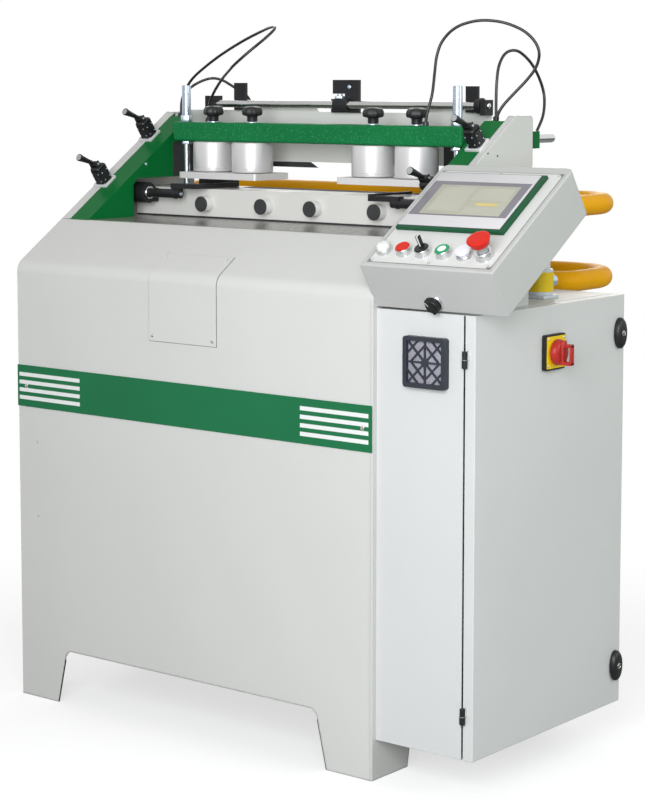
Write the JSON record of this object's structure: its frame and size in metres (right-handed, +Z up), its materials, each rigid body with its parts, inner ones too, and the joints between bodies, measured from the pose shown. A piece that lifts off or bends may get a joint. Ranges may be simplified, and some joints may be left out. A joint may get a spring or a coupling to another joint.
{
  "type": "box joint machine",
  "caption": "Floor-standing box joint cutting machine with sloping sheet body, clamp bridge over the table, rear cutter carriage, tilted control console and electric cabinet.",
  "frame": {"origin": "centre of the four floor anchor holes, on the floor", "axes": "+X to the operator's right, +Y to the rear, +Z up"},
  "size_m": [1.2859, 0.8364, 1.4053],
  "materials": {
    "body_paint": "fine textured powder coat",
    "green_paint": "smooth enamel",
    "yellow_paint": "gloss enamel",
    "frame_paint": "satin primer",
    "aluminium": "satin turned",
    "zinc": "zinc plated",
    "steel": "ground",
    "chrome": "polished",
    "black_steel": "black oxide",
    "black_plastic": "moulded",
    "grey_plastic": "moulded",
    "white_plastic": "moulded",
    "red_plastic": "moulded",
    "green_plastic": "moulded",
    "screen": "smooth",
    "rubber": "moulded",
    "hose": "extruded"
  },
  "bodies": {
    "machine": {"body_shell": "body_paint", "rear_panel": "body_paint", "base_frame": "frame_paint", "front_strip": "green_paint", "access_cover": "body_paint", "panel_screws": "zinc", "left_side_plate": "green_paint", "right_side_plate": "green_paint", "table_beam": "body_paint", "bumpers": "rubber", "dust_hood": "body_paint", "steel_rods": "zinc", "stop_bearings": "black_steel", "valve_bodies": "black_plastic", "console_case": "body_paint", "console_panel": "body_paint", "touch_screen": "screen", "button_collars": "chrome", "pilot_lamp": "white_plastic", "cabinet_box": "body_paint", "fan_filter": "black_plastic", "control_plate": "zinc", "air_unit": "black_plastic", "rear_guard": "yellow_paint", "hose_b": "hose", "hose_d": "hose"},
    "bridge": {"clamp_beam": "green_paint", "beam_nuts": "zinc", "clamp_cylinders": "aluminium", "hose_a": "hose", "hose_c": "hose"},
    "left_plate": {"left_pressure_plate": "aluminium"},
    "right_plate": {"right_pressure_plate": "aluminium"},
    "board_stop": {"stop_shaft": "chrome", "stop_flags": "black_steel"},
    "left_stop": {"left_side_stop": "black_steel"},
    "right_stop": {"right_side_stop": "black_steel"},
    "door": {"cabinet_door": "body_paint", "switch_base": "black_plastic"},
    "carriage": {"carriage": "frame_paint"},
    "screw": {"ball_screw": "steel"},
    "lift": {"lift_head": "aluminium"},
    "cutter": {"cutter": "steel"},
    "knob_1": {"knob_1": "black_plastic"},
    "knob_2": {"knob_2": "black_plastic"},
    "knob_3": {"knob_3": "black_plastic"},
    "knob_4": {"knob_4": "black_plastic"},
    "lever_1": {"lever_1": "grey_plastic"},
    "lever_2": {"lever_2": "grey_plastic"},
    "lever_3": {"lever_3": "grey_plastic"},
    "lever_4": {"lever_4": "grey_plastic"},
    "red_button": {"red_button": "red_plastic"},
    "green_button": {"green_button": "green_plastic"},
    "white_button": {"white_button": "white_plastic"},
    "emergency_stop": {"emergency_stop": "red_plastic"},
    "top_selector": {"top_selector": "black_plastic"},
    "front_selector": {"front_selector": "black_plastic"},
    "upper_lock": {"upper_lock": "black_plastic"},
    "lower_lock": {"lower_lock": "black_plastic"},
    "switch_handle": {"switch_handle": "red_plastic"}
  },
  "joints": [
    {"name": "bridge_height", "type": "slide", "parent": "machine", "child": "bridge", "axis": [0, 0, 1], "range_m": [0, 0.04]},
    {"name": "left_clamp", "type": "slide", "parent": "bridge", "child": "left_plate", "axis": [0, 0, -1], "range_m": [0, 0.008]},
    {"name": "right_clamp", "type": "slide", "parent": "bridge", "child": "right_plate", "axis": [0, 0, -1], "range_m": [0, 0.008]},
    {"name": "knob_1_turn", "type": "hinge", "parent": "bridge", "child": "knob_1", "pos_m": [-0.2695, 0.136, 1.2], "axis": [0, 0, 1], "range_deg": [-180, 180]},
    {"name": "knob_2_turn", "type": "hinge", "parent": "bridge", "child": "knob_2", "pos_m": [-0.1605, 0.136, 1.2], "axis": [0, 0, 1], "range_deg": [-180, 180]},
    {"name": "knob_3_turn", "type": "hinge", "parent": "bridge", "child": "knob_3", "pos_m": [0.1605, 0.136, 1.2], "axis": [0, 0, 1], "range_deg": [-180, 180]},
    {"name": "knob_4_turn", "type": "hinge", "parent": "bridge", "child": "knob_4", "pos_m": [0.2695, 0.136, 1.2], "axis": [0, 0, 1], "range_deg": [-180, 180]},
    {"name": "board_stop_swing", "type": "hinge", "parent": "machine", "child": "board_stop", "pos_m": [0, 0.231, 1.2343], "axis": [1, 0, 0], "range_deg": [0, 90]},
    {"name": "left_stop_slide", "type": "slide", "parent": "machine", "child": "left_stop", "axis": [1, 0, 0], "range_m": [-0.012, 0.018]},
    {"name": "right_stop_slide", "type": "slide", "parent": "machine", "child": "right_stop", "axis": [-1, 0, 0], "range_m": [-0.012, 0.018]},
    {"name": "lever_1_tilt", "type": "hinge", "parent": "machine", "child": "lever_1", "pos_m": [-0.438, 0.08461, 1.20316], "axis": [-1, 0, 0], "range_deg": [0, 60]},
    {"name": "lever_2_tilt", "type": "hinge", "parent": "machine", "child": "lever_2", "pos_m": [-0.438, -0.05539, 1.10873], "axis": [-1, 0, 0], "range_deg": [0, 60]},
    {"name": "lever_3_tilt", "type": "hinge", "parent": "machine", "child": "lever_3", "pos_m": [0.433, 0.07861, 1.19912], "axis": [-1, 0, 0], "range_deg": [0, 60]},
    {"name": "lever_4_tilt", "type": "hinge", "parent": "machine", "child": "lever_4", "pos_m": [0.433, -0.06239, 1.10401], "axis": [-1, 0, 0], "range_deg": [0, 60]},
    {"name": "red_button_press", "type": "slide", "parent": "machine", "child": "red_button", "axis": [0, 0.5519, -0.8339], "range_m": [0, 0.004], "stiffness_N_per_m": 300},
    {"name": "green_button_press", "type": "slide", "parent": "machine", "child": "green_button", "axis": [0, 0.5519, -0.8339], "range_m": [0, 0.004], "stiffness_N_per_m": 300},
    {"name": "white_button_press", "type": "slide", "parent": "machine", "child": "white_button", "axis": [0, 0.5519, -0.8339], "range_m": [0, 0.004], "stiffness_N_per_m": 300},
    {"name": "emergency_stop_press", "type": "slide", "parent": "machine", "child": "emergency_stop", "axis": [0, 0.5519, -0.8339], "range_m": [0, 0.005], "stiffness_N_per_m": 600},
    {"name": "top_selector_turn", "type": "hinge", "parent": "machine", "child": "top_selector", "pos_m": [0.5795, -0.26812, 0.98663], "axis": [0, -0.5519, 0.8339], "range_deg": [-45, 45]},
    {"name": "front_selector_turn", "type": "hinge", "parent": "machine", "child": "front_selector", "pos_m": [0.6, -0.26206, 0.89231], "axis": [0, -0.8339, -0.5519], "range_deg": [-45, 45]},
    {"name": "door_swing", "type": "hinge", "parent": "machine", "child": "door", "pos_m": [0.66, -0.252, 0.476], "axis": [0, 0, -1], "range_deg": [0, 110]},
    {"name": "upper_lock_turn", "type": "hinge", "parent": "door", "child": "upper_lock", "pos_m": [0.679, 0.234, 0.803], "axis": [-1, 0, 0], "range_deg": [0, 90]},
    {"name": "lower_lock_turn", "type": "hinge", "parent": "door", "child": "lower_lock", "pos_m": [0.679, 0.234, 0.151], "axis": [-1, 0, 0], "range_deg": [0, 90]},
    {"name": "main_switch_turn", "type": "hinge", "parent": "door", "child": "switch_handle", "pos_m": [0.69, -0.001, 0.79], "axis": [1, 0, 0], "range_deg": [0, 90]},
    {"name": "carriage_travel", "type": "slide", "parent": "machine", "child": "carriage", "axis": [1, 0, 0], "range_m": [-0.36, 0.295]},
    {"name": "screw_turn", "type": "hinge", "parent": "machine", "child": "screw", "pos_m": [0, 0.21, 0.891], "axis": [1, 0, 0], "range_deg": [-6481, 5311]},
    {"name": "cutter_lift", "type": "slide", "parent": "carriage", "child": "lift", "axis": [0, 0, 1], "range_m": [0, 0.045]},
    {"name": "cutter_spin", "type": "hinge", "parent": "lift", "child": "cutter", "pos_m": [0, 0.306, 0.955], "axis": [1, 0, 0], "continuous": true}
  ],
  "couplings": [
    {"joint": "screw_turn", "follows": "carriage_travel", "rad_per_m": 314.16}
  ]
}
